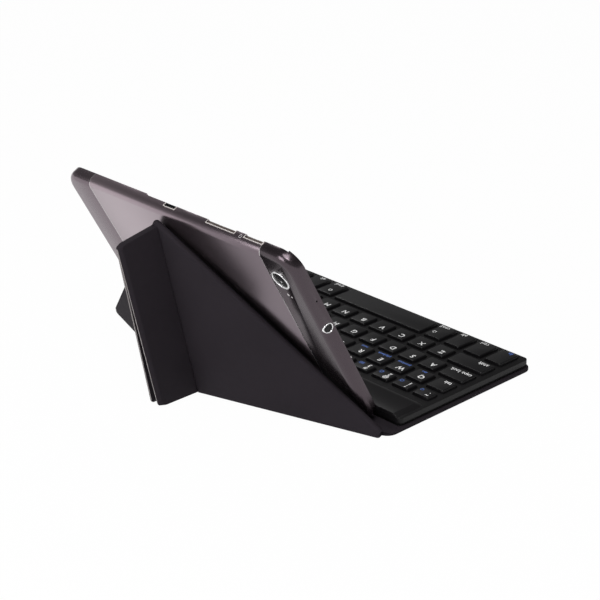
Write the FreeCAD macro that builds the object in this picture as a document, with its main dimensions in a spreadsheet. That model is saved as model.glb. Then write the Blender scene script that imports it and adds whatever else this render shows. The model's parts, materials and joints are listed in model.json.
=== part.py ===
import FreeCAD, Part
import math
import os
import Sketcher

# Folding keyboard case for a small tablet.  Millimetres and degrees.
# +X is to the typist's right, +Y away from the typist, +Z up.  The origin is the middle of the
# base panel's underside.  The rear flap of the cover folds into a tent that the tablet shell leans on.

V = FreeCAD.Vector
doc = FreeCAD.newDocument("TabletKeyboardCase")

SIZES = {
    # cover: base panel under the keyboard and the folding rear flap
    "cover_width": 243.6,
    "base_depth": 124.0,
    "base_thickness": 1.8,
    "cover_corner": 7.0,
    "sheet_thickness": 0.6,
    "sheet_gap": 0.5,
    "hinge_gap": 0.3,
    "pouch_gap": 2.0,
    "board_margin": 1.0,
    "base_board_thickness": 0.7,
    "flap_thickness": 2.2,
    "flap_board_thickness": 1.1,
    "stand_height": 123.9,
    "stand_tilt": 62.2,
    "foot_gap": 3.0,
    "strip_width": 29.0,
    "pad_thickness": 2.0,
    "pad_margin": 7.0,
    # keyboard case
    "case_front_lip": 2.6,
    "case_width": 240.6,
    "case_depth": 109.6,
    "case_corner": 3.0,
    "lower_case_height": 2.2,
    "lower_case_inset": 1.0,
    "lower_wall": 1.2,
    "lower_floor": 1.0,
    "upper_case_height": 3.0,
    "upper_wall": 2.0,
    "deck_thickness": 1.2,
    "bar_height": 2.1,
    "bar_depth": 22.0,
    "bar_bevel": 2.8,
    "bar_corner": 3.0,
    "bar_side_margin": 2.6,
    # keys
    "key_pitch": 16.5,
    "key_gap": 4.2,
    "key_corner": 1.0,
    "key_taper": 7.0,
    "key_rise": 1.6,
    "key_cap_height": 2.7,
    "key_travel": 1.2,
    "key_clearance": 0.35,
    "number_key_depth": 8.3,
    "front_key_depth": 16.6,
    "front_margin": 3.4,
    "side_margin": 5.35,
    "tab_width": 12.6,
    "caps_width": 18.6,
    "shift_width": 26.9,
    "grave_width": 11.5,
    "function_width": 11.9,
    "control_width": 12.7,
    "option_width": 11.6,
    "command_width": 12.3,
    "space_width": 74.9,
    # inside the keyboard
    "plate_thickness": 0.5,
    "membrane_thickness": 0.3,
    "plate_margin": 0.8,
    "bay_depth": 25.4,
    "dome_radius": 2.6,
    "dome_tip_radius": 1.2,
    "dome_height": 0.7,
    "screw_spacing": 58.0,
    "screw_side_distance": 10.8,
    "screw_radius": 0.9,
    "screw_head_radius": 1.7,
    "screw_head_height": 0.5,
    "boss_radius": 2.2,
    "screw_wall_distance": 5.0,
    "battery_length": 50.0,
    "battery_depth": 15.0,
    "battery_height": 2.6,
    "board_length": 46.0,
    "board_depth": 20.0,
    "board_thickness": 0.8,
    "board_wall_gap": 0.2,
    "board_rear_distance": 2.0,
    "module_length": 12.0,
    "module_depth": 9.0,
    "module_height": 1.4,
    "socket_length": 5.6,
    "socket_width": 7.6,
    "socket_height": 2.0,
    "socket_wall": 0.4,
    "socket_offset": 5.2,
    "switch_width": 5.0,
    "switch_length": 3.2,
    "switch_height": 1.7,
    "switch_offset": 13.0,
    "knob_width": 2.6,
    "knob_height": 1.0,
    "knob_stand_out": 0.8,
    "knob_travel": 1.8,
    "button_radius": 0.7,
    "button_length": 3.0,
    "button_stand_out": 0.3,
    "button_travel": 0.25,
    "button_offset": 18.6,
    "lamp_radius": 0.6,
    "lamp_distance": 2.2,
    "fit_clearance": 0.15,
    # tablet shell
    "shell_length": 196.0,
    "shell_height": 132.5,
    "shell_offset": -8.4,
    "shell_depth": 7.6,
    "shell_wall": 1.3,
    "shell_corner": 11.5,
    "shell_back_round": 4.5,
    "shell_clearance": 0.1,
    "lip_height": 0.9,
    "lip_reach": 2.4,
    "lip_end_length": 6.5,
    "lip_strip_start": 25.5,
    "camera_glass_depth": 0.5,
    "left_seam_offset": 74.4,
    "right_seam_offset": 73.2,
    "seam_width": 0.5,
    "liner_thickness": 0.5,
    "liner_margin": 3.6,
    "camera_x": -81.7,
    "camera_y": 112.5,
    "camera_ring_radius": 6.2,
    "camera_ring_width": 1.1,
    "camera_ring_stand_out": 0.35,
    "jack_y": 78.5,
    "jack_height": 3.7,
    "jack_radius": 2.7,
    "mic_y": 98.5,
    "mic_height": 4.6,
    "mic_radius": 0.6,
    "notch_x": 2.7,
    "notch_width": 9.0,
    "infrared_recess": 0.2,
    "volume_x": -40.5,
    "volume_width": 22.8,
    "power_x": -67.0,
    "power_width": 13.8,
    "window_sill": 4.4,
    "window_clearance": 0.3,
    "window_button_recess": 0.5,
    "window_button_travel": 0.4,
    "window_button_depth": 1.2,
}

sheet = doc.addObject("Spreadsheet::Sheet", "Sizes")
for row, (alias, number) in enumerate(SIZES.items(), start=1):
    sheet.set(f"A{row}", alias)
    sheet.set(f"B{row}", str(number))
    sheet.setAlias(f"B{row}", alias)
doc.recompute()


class Size:
    """A length or an angle, kept both as its value and as the expression that gives it."""

    def __init__(self, text, value):
        self.text = text
        self.value = value

    def __add__(self, other):
        other = as_size(other)
        return Size(f"{self.text} + {other.text}", self.value + other.value)

    def __sub__(self, other):
        other = as_size(other)
        return Size(f"{self.text} - ({other.text})", self.value - other.value)

    def __mul__(self, other):
        other = as_size(other)
        return Size(f"({self.text}) * ({other.text})", self.value * other.value)

    def __truediv__(self, other):
        other = as_size(other)
        return Size(f"({self.text}) / ({other.text})", self.value / other.value)

    def __neg__(self):
        return Size(f"-1 * ({self.text})", -self.value)


def as_size(number):
    return number if isinstance(number, Size) else Size(str(number), float(number))


def sine(angle):
    return Size(f"sin({angle.text})", math.sin(math.radians(angle.value)))


def cosine(angle):
    return Size(f"cos({angle.text})", math.cos(math.radians(angle.value)))


def tangent(angle):
    return Size(f"tan({angle.text})", math.tan(math.radians(angle.value)))


class Sheet:
    """Each alias of the sheet as a Size."""

    def __getattr__(self, alias):
        return Size(f"Sizes.{alias}", float(getattr(sheet, alias)))


S = Sheet()
ZERO = as_size(0)


def bind(thing, **bindings):
    """Bind properties of a thing to sizes."""
    for name, length in bindings.items():
        thing.setExpression(name, as_size(length).text)


def seat(thing, x=0, y=0, z=0):
    """Bind the place of a thing to sizes."""
    for axis, length in (("x", x), ("y", y), ("z", z)):
        thing.setExpression(f"Placement.Base.{axis}", as_size(length).text)


# Lines and heights that several pieces share.
case_front = S.case_front_lip - S.base_depth / 2
case_middle = case_front + S.case_depth / 2
case_rear = case_front + S.case_depth
case_side = S.case_width / 2
case_split = S.base_thickness + S.lower_case_height
deck_top = case_split + S.upper_case_height
deck_underside = deck_top - S.deck_thickness
floor_top = S.base_thickness + S.lower_floor
inner_side = case_side - S.lower_case_inset - S.lower_wall
inner_rear = case_rear - S.lower_case_inset - S.lower_wall
inner_front = case_front + S.lower_case_inset + S.lower_wall
bay_front = case_rear - S.bay_depth
key_bottom = deck_top + S.key_rise - S.key_cap_height
key_flare = S.key_cap_height * tangent(S.key_taper)
key_side = S.key_pitch - S.key_gap


# --- helpers: sketches, pads, pockets, blocks and cuts ----------------------------------------

def new_body(label):
    body = doc.addObject("PartDesign::Body", label)
    body.Label = label
    body.AllowCompound = True
    return body


def origin_part(body, role):
    return next(feature for feature in body.Origin.OriginFeatures if feature.Role == role)


def rounded_sketch(body, name, x, y, width, depth, radius, height=0):
    """A rounded rectangle parallel to the body's XY plane.  Its low corner is x, y."""
    sketch = body.newObject("Sketcher::SketchObject", name)
    sketch.AttachmentSupport = [(origin_part(body, "XY_Plane"), "")]
    sketch.MapMode = "FlatFace"
    sketch.setExpression("AttachmentOffset.Base.z", as_size(height).text)
    x, y, width, depth, radius = (as_size(number) for number in (x, y, width, depth, radius))
    left, low, right, high = x.value, y.value, (x + width).value, (y + depth).value
    bend = radius.value
    lines = [
        ((left + bend, low), (right - bend, low)),
        ((right, low + bend), (right, high - bend)),
        ((right - bend, high), (left + bend, high)),
        ((left, high - bend), (left, low + bend)),
    ]
    for start, end in lines:
        sketch.addGeometry(Part.LineSegment(V(*start, 0), V(*end, 0)), False)
    centres = [
        (right - bend, low + bend),
        (right - bend, high - bend),
        (left + bend, high - bend),
        (left + bend, low + bend),
    ]
    for turn, centre in enumerate(centres):
        circle = Part.Circle(V(*centre, 0), V(0, 0, 1), bend)
        start = (turn - 1) * math.pi / 2
        sketch.addGeometry(Part.ArcOfCircle(circle, start, start + math.pi / 2), False)
    for turn in range(4):
        sketch.addConstraint(Sketcher.Constraint("Tangent", turn, 2, 4 + turn, 1))
        sketch.addConstraint(Sketcher.Constraint("Tangent", 4 + turn, 2, (turn + 1) % 4, 1))
        sketch.addConstraint(Sketcher.Constraint(("Horizontal", "Vertical")[turn % 2], turn))
    for turn in range(1, 4):
        sketch.addConstraint(Sketcher.Constraint("Equal", 4, 4 + turn))
    named = [
        ("bend", Sketcher.Constraint("Radius", 4, bend), radius),
        ("leftside", Sketcher.Constraint("DistanceX", -1, 1, 3, 1, left), x),
        ("lowside", Sketcher.Constraint("DistanceY", -1, 1, 0, 1, low), y),
        ("rightside", Sketcher.Constraint("DistanceX", -1, 1, 1, 1, right), x + width),
        ("highside", Sketcher.Constraint("DistanceY", -1, 1, 2, 1, high), y + depth),
    ]
    for label, constraint, length in named:
        index = sketch.addConstraint(constraint)
        sketch.renameConstraint(index, label)
        sketch.setExpression(f"Constraints.{label}", length.text)
    return sketch


def pad(body, sketch, length, taper=None):
    feature = body.newObject("PartDesign::Pad", f"{sketch.Name}_pad")
    feature.Profile = sketch
    bind(feature, Length=length)
    if taper is not None:
        bind(feature, TaperAngle=taper)
    body.Tip = feature
    return feature


def pocket_up(body, sketch, length=None):
    """Cut upwards from the sketch, right through when no length is given."""
    feature = body.newObject("PartDesign::Pocket", f"{sketch.Name}_pocket")
    feature.Profile = sketch
    feature.Reversed = True
    if length is None:
        feature.Type = "ThroughAll"
    else:
        bind(feature, Length=length)
    body.Tip = feature
    return feature


def repeat_x(body, feature, spacing, count):
    pattern = body.newObject("PartDesign::LinearPattern", f"{feature.Name}_row")
    pattern.Originals = [feature]
    pattern.Direction = (origin_part(body, "X_Axis"), [""])
    pattern.Mode = "Spacing"
    bind(pattern, Offset=spacing)
    pattern.Occurrences = count
    body.Tip = pattern
    return pattern


def box(label, x, y, z, length, width, height):
    """A block with its low corner at x, y, z."""
    block = doc.addObject("Part::Box", label)
    block.Label = label
    bind(block, Length=length, Width=width, Height=height)
    seat(block, x, y, z)
    return block


def rod(label, x, y, z, radius, length, axis):
    """A cylinder that starts at x, y, z and runs along +X, +Y or +Z."""
    cylinder = doc.addObject("Part::Cylinder", label)
    cylinder.Label = label
    bind(cylinder, Radius=radius, Height=length)
    turns = {"x": (V(0, 1, 0), 90), "y": (V(1, 0, 0), -90), "z": (V(0, 0, 1), 0)}
    cylinder.Placement = FreeCAD.Placement(V(0, 0, 0), FreeCAD.Rotation(*turns[axis]))
    seat(cylinder, x, y, z)
    return cylinder


def fuse(label, *shapes):
    result = doc.addObject("Part::MultiFuse", label)
    result.Label = label
    result.Shapes = list(shapes)
    return result


def cut(label, base, *tools):
    result = doc.addObject("Part::Cut", label)
    result.Label = label
    result.Base = base
    result.Tool = tools[0] if len(tools) == 1 else fuse(f"{label}_tools", *tools)
    return result


def common(label, base, tool):
    result = doc.addObject("Part::Common", label)
    result.Label = label
    result.Base = base
    result.Tool = tool
    return result


nodes = []


def node(thing):
    nodes.append(thing)
    return thing


# --- base panel of the cover ------------------------------------------------------------------

base_left = -S.cover_width / 2
base_front = -S.base_depth / 2

base_body = new_body("base_panel")
outline = rounded_sketch(
    base_body, "base_outline", base_left, base_front, S.cover_width,
    S.base_depth + S.cover_corner, S.cover_corner,
)
pad(base_body, outline, S.base_thickness)

rear_trim = box(
    "base_rear_trim", base_left, S.base_depth / 2 - S.hinge_gap, ZERO,
    S.cover_width, S.cover_corner + S.hinge_gap, S.base_thickness,
)
rear_step = box(
    "base_rear_step", base_left, S.base_depth / 2 - S.pouch_gap, S.sheet_thickness,
    S.cover_width, S.cover_corner + S.pouch_gap, S.base_thickness,
)
board_inset = S.pouch_gap + S.board_margin + S.cover_corner / 2
base_board = node(box(
    "base_board", base_left + board_inset, base_front + board_inset,
    (S.base_thickness - S.base_board_thickness) / 2,
    S.cover_width - board_inset * 2, S.base_depth - board_inset * 2, S.base_board_thickness,
))
node(cut("base_skin", base_body, rear_trim, rear_step, base_board))

# --- keys ---------------------------------------------------------------------------------------

field_left = S.side_margin - case_side
field_right = case_side - S.side_margin

KEY_ROWS = [
    (S.front_key_depth, [
        ("fn_key", S.function_width, 1), ("ctrl_key", S.control_width, 1),
        ("left_alt_key", S.option_width, 1), ("left_cmd_key", S.command_width, 1),
        ("space_bar", S.space_width, 1), ("right_cmd_key", S.command_width, 1),
        ("right_alt_key", S.command_width, 1), ("arrow_keys", None, 3),
    ]),
    (key_side, [
        ("left_shift_key", S.shift_width, 1), ("lower_letter_keys", key_side, 10),
        ("right_shift_key", None, 1),
    ]),
    (key_side, [
        ("caps_lock_key", S.caps_width, 1), ("home_letter_keys", key_side, 11),
        ("enter_key", None, 1),
    ]),
    (key_side, [
        ("tab_key", S.tab_width, 1), ("top_letter_keys", key_side, 12),
        ("backslash_key", None, 1),
    ]),
    (S.number_key_depth, [
        ("grave_key", S.grave_width, 1), ("number_keys", key_side, 12),
        ("backspace_key", None, 1),
    ]),
]

# Each group of equal keys: label, low corner, width, depth, how many, and their spacing.
key_groups = []
row_y = case_front + S.front_margin
for depth, groups in KEY_ROWS:
    key_x = field_left
    for label, width, count in groups:
        if width is None:
            width = (field_right - key_x - S.key_gap * (count - 1)) / count
        key_groups.append((label, key_x, row_y, width, depth, count, width + S.key_gap))
        key_x = key_x + (width + S.key_gap) * count
    row_y = row_y + depth + S.key_gap

for label, x, y, width, depth, count, spacing in key_groups:
    key = new_body(label)
    outline = rounded_sketch(
        key, f"{label}_foot", x - key_flare, y - key_flare,
        width + key_flare * 2, depth + key_flare * 2, S.key_corner + key_flare,
    )
    cap = pad(key, outline, S.key_cap_height, -S.key_taper)
    if count > 1:
        repeat_x(key, cap, spacing, count)
    seat(key, z=key_bottom)
    node(key)

# --- upper case: the deck with a hole for each key -----------------------------------------------

deck = new_body("deck")
outline = rounded_sketch(
    deck, "deck_outline", -case_side, case_front, S.case_width, S.case_depth, S.case_corner,
)
pad(deck, outline, S.upper_case_height)
outline = rounded_sketch(
    deck, "deck_hollow", S.upper_wall - case_side, case_front + S.upper_wall,
    S.case_width - S.upper_wall * 2, S.case_depth - S.upper_wall * 2, S.case_corner / 2,
)
pocket_up(deck, outline, S.upper_case_height - S.deck_thickness)
hole_extra = key_flare + S.key_clearance
for label, x, y, width, depth, count, spacing in key_groups:
    outline = rounded_sketch(
        deck, f"{label}_hole", x - hole_extra, y - hole_extra,
        width + hole_extra * 2, depth + hole_extra * 2, S.key_corner + hole_extra,
    )
    hole = pocket_up(deck, outline)
    if count > 1:
        repeat_x(deck, hole, spacing, count)
seat(deck, z=case_split)

# --- lower case -----------------------------------------------------------------------------------

tub = new_body("tub")
outline = rounded_sketch(
    tub, "tub_outline", S.lower_case_inset - case_side, case_front + S.lower_case_inset,
    S.case_width - S.lower_case_inset * 2, S.case_depth - S.lower_case_inset * 2, S.case_corner,
)
pad(tub, outline, S.lower_case_height)
outline = rounded_sketch(
    tub, "tub_hollow", -inner_side, inner_front, inner_side * 2,
    inner_rear - inner_front, S.case_corner / 2, S.lower_floor,
)
pocket_up(tub, outline)
seat(tub, z=S.base_thickness)

# --- electronics in the rear bay ------------------------------------------------------------------

board_x = inner_side - S.board_wall_gap - S.board_length
board_y = inner_rear - S.board_rear_distance - S.board_depth
board_top = floor_top + S.board_thickness
switch_y = board_y + S.switch_offset
switch_inner = inner_side - S.board_wall_gap - S.switch_length
knob_z = board_top + (S.switch_height - S.knob_height) / 2
button_z = board_top + S.switch_height / 2
button_y = board_y + S.button_offset
lamp_y = button_y - S.lamp_distance

plate = box(
    "board_plate", board_x, board_y, floor_top, S.board_length, S.board_depth, S.board_thickness,
)
slide_switch = box(
    "slide_switch", switch_inner, switch_y - S.switch_width / 2, board_top,
    S.switch_length, S.switch_width, S.switch_height,
)
contact_block = box(
    "contact_block", case_side - S.button_length - S.button_travel - S.switch_length,
    button_y - S.knob_width / 2, board_top, S.switch_length, S.knob_width, S.switch_height,
)
node(fuse("circuit_board", plate, slide_switch, contact_block))
module_x = board_x + S.board_depth / 4
module_y = board_y + S.board_depth / 4
node(box(
    "radio_module", module_x, module_y, board_top,
    S.module_length, S.module_depth, S.module_height,
))

socket_x = case_side - S.socket_wall - S.socket_length
socket_y = board_y + S.socket_offset - S.socket_width / 2
socket_shell = box(
    "socket_shell", socket_x, socket_y, board_top, S.socket_length, S.socket_width, S.socket_height,
)
socket_mouth = box(
    "socket_mouth", socket_x + S.socket_wall, socket_y + S.socket_wall, board_top + S.socket_wall,
    S.socket_length, S.socket_width - S.socket_wall * 2, S.socket_height - S.socket_wall * 2,
)
node(cut("charge_socket", socket_shell, socket_mouth))
node(box(
    "power_switch", inner_side - S.board_wall_gap, switch_y - S.knob_width / 2 - S.knob_travel / 2,
    knob_z, S.lower_case_inset + S.lower_wall + S.board_wall_gap + S.knob_stand_out,
    S.knob_width, S.knob_height,
))
node(rod(
    "pairing_button", case_side - S.button_length + S.button_stand_out, button_y, button_z,
    S.button_radius, S.button_length, "x",
))
node(rod(
    "status_light", case_side - S.button_length, lamp_y, button_z, S.lamp_radius, S.button_length, "x",
))

wall_reach = S.upper_wall + S.lower_case_inset
wall_start = case_side - wall_reach
socket_opening = box(
    "socket_opening", wall_start, socket_y - S.fit_clearance, board_top - S.fit_clearance,
    wall_reach + S.fit_clearance, S.socket_width + S.fit_clearance * 2,
    S.socket_height + S.fit_clearance * 2,
)
knob_slot = box(
    "knob_slot", wall_start, switch_y - (S.knob_width + S.knob_travel) / 2 - S.fit_clearance,
    knob_z - S.fit_clearance, wall_reach + S.fit_clearance,
    S.knob_width + S.knob_travel + S.fit_clearance * 2, S.knob_height + S.fit_clearance * 2,
)
button_hole = rod(
    "button_hole", wall_start, button_y, button_z, S.button_radius + S.fit_clearance,
    wall_reach + S.fit_clearance, "x",
)
lamp_hole = rod(
    "lamp_hole", wall_start, lamp_y, button_z, S.lamp_radius, wall_reach + S.fit_clearance, "x",
)
side_openings = [socket_opening, knob_slot, button_hole, lamp_hole]

# Screws come up through the lower case into bosses under the deck, in a row behind the keys.
screw_y = inner_rear - S.screw_wall_distance
screw_start = S.screw_side_distance - case_side
screws, bosses, bores, sinks = [], [], [], []
for place in range(4):
    x = screw_start + S.screw_spacing * place
    bore_z = S.base_thickness + S.screw_head_height
    bore_height = deck_underside - bore_z
    screws.append(rod(f"screw_head_{place}", x, screw_y, S.base_thickness, S.screw_head_radius,
                      S.screw_head_height, "z"))
    screws.append(rod(f"screw_shaft_{place}", x, screw_y, bore_z, S.screw_radius, bore_height, "z"))
    bosses.append(rod(f"boss_{place}", x, screw_y, floor_top, S.boss_radius,
                      deck_underside - floor_top, "z"))
    bores.append(rod(f"bore_{place}", x, screw_y, bore_z, S.screw_radius, bore_height, "z"))
    sinks.append(rod(f"sink_{place}", x, screw_y, S.base_thickness, S.screw_head_radius,
                     S.screw_head_height, "z"))
node(fuse("case_screws", *screws))
node(cut("upper_case", fuse("deck_and_bosses", deck, *bosses), *side_openings, *bores))
node(cut("lower_case", tub, *side_openings, *bores, *sinks))

last_boss = screw_start + S.screw_spacing * 2
node(box(
    "battery", last_boss - S.screw_spacing / 2 - S.battery_length / 2,
    (bay_front + inner_rear) / 2 - S.battery_depth / 2, floor_top,
    S.battery_length, S.battery_depth, S.battery_height,
))

# --- backing plate, membrane and domes under the keys ----------------------------------------------

stack_x = S.plate_margin - inner_side
stack_y = inner_front + S.plate_margin
stack_width = (inner_side - S.plate_margin) * 2
stack_depth = bay_front - stack_y
plate_top = floor_top + S.plate_thickness
membrane_top = plate_top + S.membrane_thickness
node(box("backing_plate", stack_x, stack_y, floor_top, stack_width, stack_depth, S.plate_thickness))
node(box("membrane_sheet", stack_x, stack_y, plate_top, stack_width, stack_depth,
         S.membrane_thickness))

dome_shapes = []
for label, x, y, width, depth, count, spacing in key_groups:
    for place in range(count):
        centre = V(
            (x + width / 2 + spacing * place).value, (y + depth / 2).value, membrane_top.value,
        )
        dome_shapes.append(Part.makeCone(
            S.dome_radius.value, S.dome_tip_radius.value, S.dome_height.value, centre,
        ))
domes = doc.addObject("Part::Feature", "rubber_domes")
domes.Label = "rubber_domes"
domes.Shape = Part.makeCompound(dome_shapes)
node(domes)

# --- rest bar: the raised support behind the keys -----------------------------------------------------

bar_half = case_side - S.bar_side_margin


def bar_section(inset, height):
    """A flat outline of the bar: its rear stays flush with the case and its front corners are round."""
    half = (bar_half - inset).value
    front = (case_rear - S.bar_depth + inset).value
    rear = case_rear.value
    bend = S.bar_corner.value
    corner = bend * (1 - math.sqrt(0.5))
    level = height.value
    right_arc = Part.Arc(V(half - bend, front, level), V(half - corner, front + corner, level),
                         V(half, front + bend, level))
    left_arc = Part.Arc(V(-half, front + bend, level), V(corner - half, front + corner, level),
                        V(bend - half, front, level))
    edges = [
        Part.LineSegment(V(bend - half, front, level), V(half - bend, front, level)).toShape(),
        right_arc.toShape(),
        Part.LineSegment(V(half, front + bend, level), V(half, rear, level)).toShape(),
        Part.LineSegment(V(half, rear, level), V(-half, rear, level)).toShape(),
        Part.LineSegment(V(-half, rear, level), V(-half, front + bend, level)).toShape(),
        left_arc.toShape(),
    ]
    return Part.Wire(edges)


rest_bar = doc.addObject("Part::Feature", "rest_bar")
rest_bar.Label = "rest_bar"
rest_bar.Shape = Part.makeLoft(
    [bar_section(ZERO, deck_top), bar_section(S.bar_bevel, deck_top + S.bar_height)], True, True,
)
node(rest_bar)

# --- folding rear flap ---------------------------------------------------------------------------------
# Laid flat, the flap is a centre triangle hinged to the base, two outer triangles that fold on its
# sloping sides, and two strips that fold on the outer triangles.  All five meet at the apex.

half_width = S.cover_width.value / 2
rise = S.stand_height.value
tilt = math.radians(S.stand_tilt.value)
gap = S.foot_gap.value
strip = S.strip_width.value
apex_y = rise * math.cos(tilt)
apex_z = rise * math.sin(tilt)
# The outer triangle keeps its two free lengths when it folds: that fixes where its foot stands.
reach = gap + rise * rise / half_width
slope = apex_y / half_width
first = 1 - slope * slope
second = 2 * (reach * slope - apex_y)
third = gap * gap + rise * rise - reach * reach
foot_y = (math.sqrt(second * second - 4 * first * third) - second) / (2 * first)
far_half = reach - slope * foot_y
lean = math.atan2(apex_y - foot_y, apex_z)
strip_way = V(0, math.cos(lean), -math.sin(lean))
foot_share = 1 - strip * math.sin(lean) / apex_z
hinge_y = S.base_depth.value / 2
flat_apex = V(0, rise, 0)
flat_tail = V(0, rise + strip, 0)
apex = V(0, hinge_y + apex_y, apex_z)
tail = apex + strip_way * strip


def aligned(flat, folded):
    """The place that carries three points of the flat flap to where they lie when it is folded."""
    frames = []
    for first_point, second_point, third_point in (flat, folded):
        along = (second_point - first_point).normalize()
        across = third_point - first_point
        across = (across - along * across.dot(along)).normalize()
        frames.append((along, across))
    side = 1 if frames[0][0].cross(frames[0][1]).z > 0 else -1
    columns = []
    for along, across in frames:
        columns.append((along, across * side, along.cross(across * side)))
    flat_turn, folded_turn = (
        FreeCAD.Matrix(
            a.x, b.x, c.x, 0, a.y, b.y, c.y, 0, a.z, b.z, c.z, 0, 0, 0, 0, 1,
        )
        for a, b, c in columns
    )
    turn = FreeCAD.Rotation(folded_turn * flat_turn.inverse())
    return FreeCAD.Placement(folded[0] - turn.multVec(flat[0]), turn)


def inset_polygon(points, inset):
    """A convex polygon, its sides moved inwards."""
    middle = sum(points, V()) * (1 / len(points))
    sides = []
    for start, end in zip(points, points[1:] + points[:1]):
        along = (end - start).normalize()
        inward = V(-along.y, along.x, 0)
        if inward.dot(middle - start) < 0:
            inward = inward * -1
        sides.append((start + inward * inset, along))
    corners = []
    for (start, along), (other, other_along) in zip(sides[-1:] + sides[:-1], sides):
        cross = along.x * other_along.y - along.y * other_along.x
        step = (other - start).x * other_along.y - (other - start).y * other_along.x
        corners.append(start + along * (step / cross))
    return corners


def slab(points, inset, low, high):
    corners = [point + V(0, 0, low) for point in inset_polygon(points, inset)]
    face = Part.Face(Part.makePolygon(corners + corners[:1]))
    return face.extrude(V(0, 0, high - low))


sheet_gap = S.sheet_gap.value
pouch_gap = S.pouch_gap.value
sheet_height = S.sheet_thickness.value
flap_height = S.flap_thickness.value
board_gap = pouch_gap + S.board_margin.value
board_height = sheet_height + S.flap_board_thickness.value


def flap_panel(label, points, place):
    """A panel: a thin sheet up to the creases, and a closed pouch on it with a stiff board inside."""
    board = slab(points, board_gap, sheet_height, board_height)
    skin = slab(points, sheet_gap, 0, sheet_height)
    skin = skin.fuse(slab(points, pouch_gap, sheet_height, flap_height)).removeSplitter()
    skin = skin.cut(board)
    for name, shape in ((f"{label}_skin", skin), (f"{label}_board", board)):
        feature = doc.addObject("Part::Feature", name)
        feature.Label = name
        feature.Shape = shape
        feature.Placement = place
        node(feature)


tilted = FreeCAD.Placement(V(0, hinge_y, 0), FreeCAD.Rotation(V(1, 0, 0), S.stand_tilt.value))
centre_points = [V(-half_width, 0, 0), V(half_width, 0, 0), flat_apex]
flap_panel("centre_panel", centre_points, tilted)

grip = doc.addObject("Part::Feature", "grip_pad")
grip.Label = "grip_pad"
grip.Shape = slab(
    centre_points, S.pad_margin.value, flap_height, flap_height + S.pad_thickness.value,
)
grip.Placement = tilted
node(grip)

folds = {}
for name, side in (("left", -1), ("right", 1)):
    corner = V(side * half_width, 0, 0)
    corner_folded = V(side * half_width, hinge_y, 0)
    flat_foot = V(side * far_half, rise, 0)
    foot = V(side * gap, hinge_y + foot_y, 0)
    flat_heel = V(side * far_half * foot_share, rise + strip, 0)
    fold_place = aligned((corner, flat_apex, flat_foot), (corner_folded, apex, foot))
    strip_place = aligned((flat_apex, flat_foot, flat_tail), (apex, foot, tail))
    flap_panel(f"{name}_fold", [corner, flat_apex, flat_foot], fold_place)
    flap_panel(f"{name}_strip", [flat_apex, flat_foot, flat_heel, flat_tail], strip_place)
    folds[name] = (
        (corner_folded, apex, tilted.Rotation * fold_place.Rotation.inverted()),
        (apex, foot, fold_place.Rotation * strip_place.Rotation.inverted()),
    )

# --- tablet shell: a hard tray that leans on the grip pad --------------------------------------------------
# It is drawn lying on its back, its lower edge on y = 0 and its middle on x = 0.

lift = S.flap_thickness + S.pad_thickness + S.shell_clearance
shell_sine = sine(S.stand_tilt)
shell_cosine = cosine(S.stand_tilt)
low_edge = S.base_thickness + S.shell_back_round - (lift + S.shell_back_round) * shell_cosine
shell_up = low_edge / shell_sine - S.shell_back_round
shell_left = -S.shell_length / 2
rim = S.shell_depth - S.lip_height

def rounded_tray(label, inset, height, back_round):
    """A solid plate with the shell's outline, set in on every side, its back edges rounded."""
    body = new_body(label)
    outline = rounded_sketch(
        body, f"{label}_outline", shell_left + inset, inset, S.shell_length - inset * 2,
        S.shell_height - inset * 2, S.shell_corner - inset, inset,
    )
    plate_pad = pad(body, outline, height)
    doc.recompute()
    low_edges = []
    for number, edge in enumerate(plate_pad.Shape.Edges, start=1):
        if edge.BoundBox.ZMax < inset.value + 0.001:
            low_edges.append(f"Edge{number}")
    rounding = body.newObject("PartDesign::Fillet", f"{label}_rounding")
    rounding.Base = (plate_pad, low_edges)
    bind(rounding, Radius=back_round)
    body.Tip = rounding
    return body


tray = cut(
    "tray", rounded_tray("tray_block", ZERO, rim, S.shell_back_round),
    rounded_tray("tray_void", S.shell_wall, S.shell_depth, S.shell_back_round - S.shell_wall),
)

lips = new_body("lips")
outline = rounded_sketch(
    lips, "lip_outline", shell_left, ZERO, S.shell_length, S.shell_height, S.shell_corner, rim,
)
pad(lips, outline, S.lip_height)
outline = rounded_sketch(
    lips, "lip_hollow", shell_left + S.lip_reach, S.lip_reach,
    S.shell_length - S.lip_reach * 2, S.shell_height - S.lip_reach * 2,
    S.shell_corner - S.lip_reach, rim,
)
pocket_up(lips, outline)

lip_zones = []
for side_name, x in (("left", shell_left), ("right", -shell_left - S.lip_end_length)):
    lip_zones.append(box(
        f"lip_zone_{side_name}", x, ZERO, rim, S.lip_end_length, S.shell_height, S.lip_height,
    ))
lip_zones.append(box(
    "lip_zone_strip", S.lip_strip_start, S.shell_height - S.lip_reach, rim,
    -shell_left - S.lip_strip_start, S.lip_reach, S.lip_height,
))
lip_pieces = common("lip_pieces", lips, fuse("lip_zones", *lip_zones))

top_wall = S.shell_height - S.lip_reach
openings = [
    box("volume_window", S.volume_x - S.volume_width / 2, top_wall, S.window_sill,
        S.volume_width, S.lip_reach * 2, S.shell_depth),
    box("power_window", S.power_x - S.power_width / 2, top_wall, S.window_sill,
        S.power_width, S.lip_reach * 2, S.shell_depth),
    box("infrared_notch", S.notch_x - S.notch_width / 2, top_wall, S.window_sill,
        S.notch_width, S.lip_reach * 2, S.shell_depth),
    rod("jack_opening", shell_left - S.shell_wall, S.jack_y, S.jack_height,
        S.jack_radius, S.shell_wall * 5, "x"),
    rod("mic_opening", shell_left - S.shell_wall, S.mic_y, S.mic_height,
        S.mic_radius, S.shell_wall * 5, "x"),
    rod("camera_opening", S.camera_x, S.camera_y, -S.shell_wall, S.camera_ring_radius,
        S.shell_wall * 3, "z"),
]
whole_shell = cut("whole_shell", fuse("tray_and_lips", tray, lip_pieces), *openings)

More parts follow.
